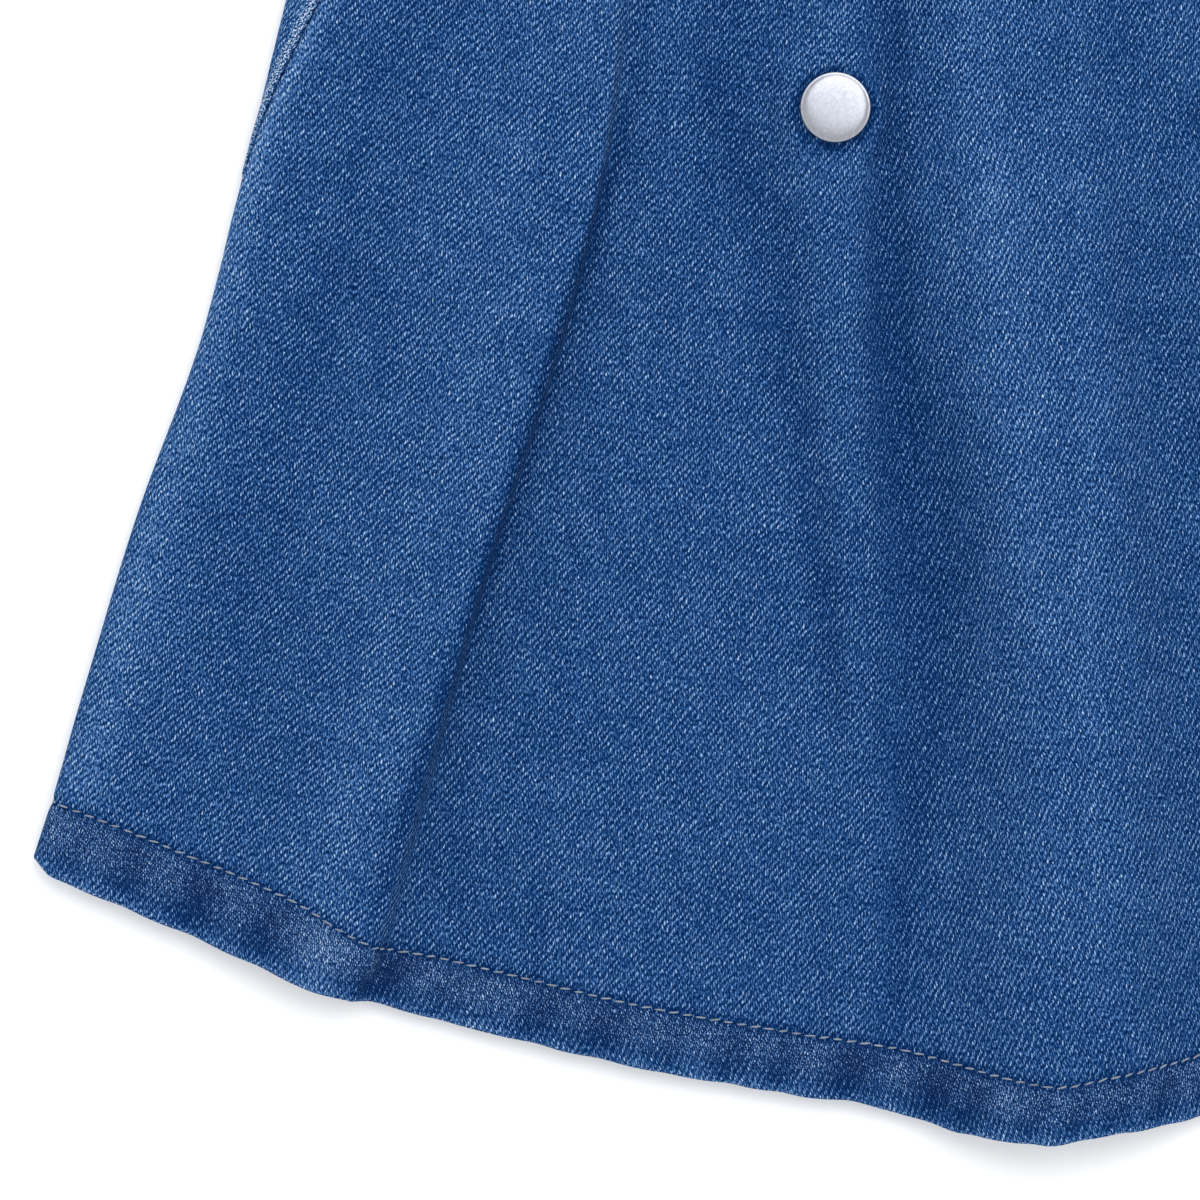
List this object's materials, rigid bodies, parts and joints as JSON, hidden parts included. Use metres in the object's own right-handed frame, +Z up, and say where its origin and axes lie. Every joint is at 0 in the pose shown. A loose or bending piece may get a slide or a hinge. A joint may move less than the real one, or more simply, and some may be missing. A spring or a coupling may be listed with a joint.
{
  "type": "denim skirt",
  "caption": "Young child's flared denim skirt laid flat: gathered panels with deep flutes, ruched elastic waistband, turned-up hem and a press snap at centre front.",
  "frame": {"origin": "on the surface the skirt lies on, under the middle of its width and length", "axes": "+X across the skirt, towards the right of the picture; +Y towards the waist; +Z up, away from the surface"},
  "size_m": [0.3414, 0.3167, 0.0171],
  "materials": {
    "denim": "washed mid-blue twill with a soft nap, darker in its valleys and paler along folds and seams",
    "snap": "satin nickel plate with fine handling marks"
  },
  "bodies": {
    "root": {"front_panel": "denim", "back_panel": "denim", "waistband": "denim", "snap_cap": "snap", "snap_socket": "snap"}
  },
  "joints": []
}
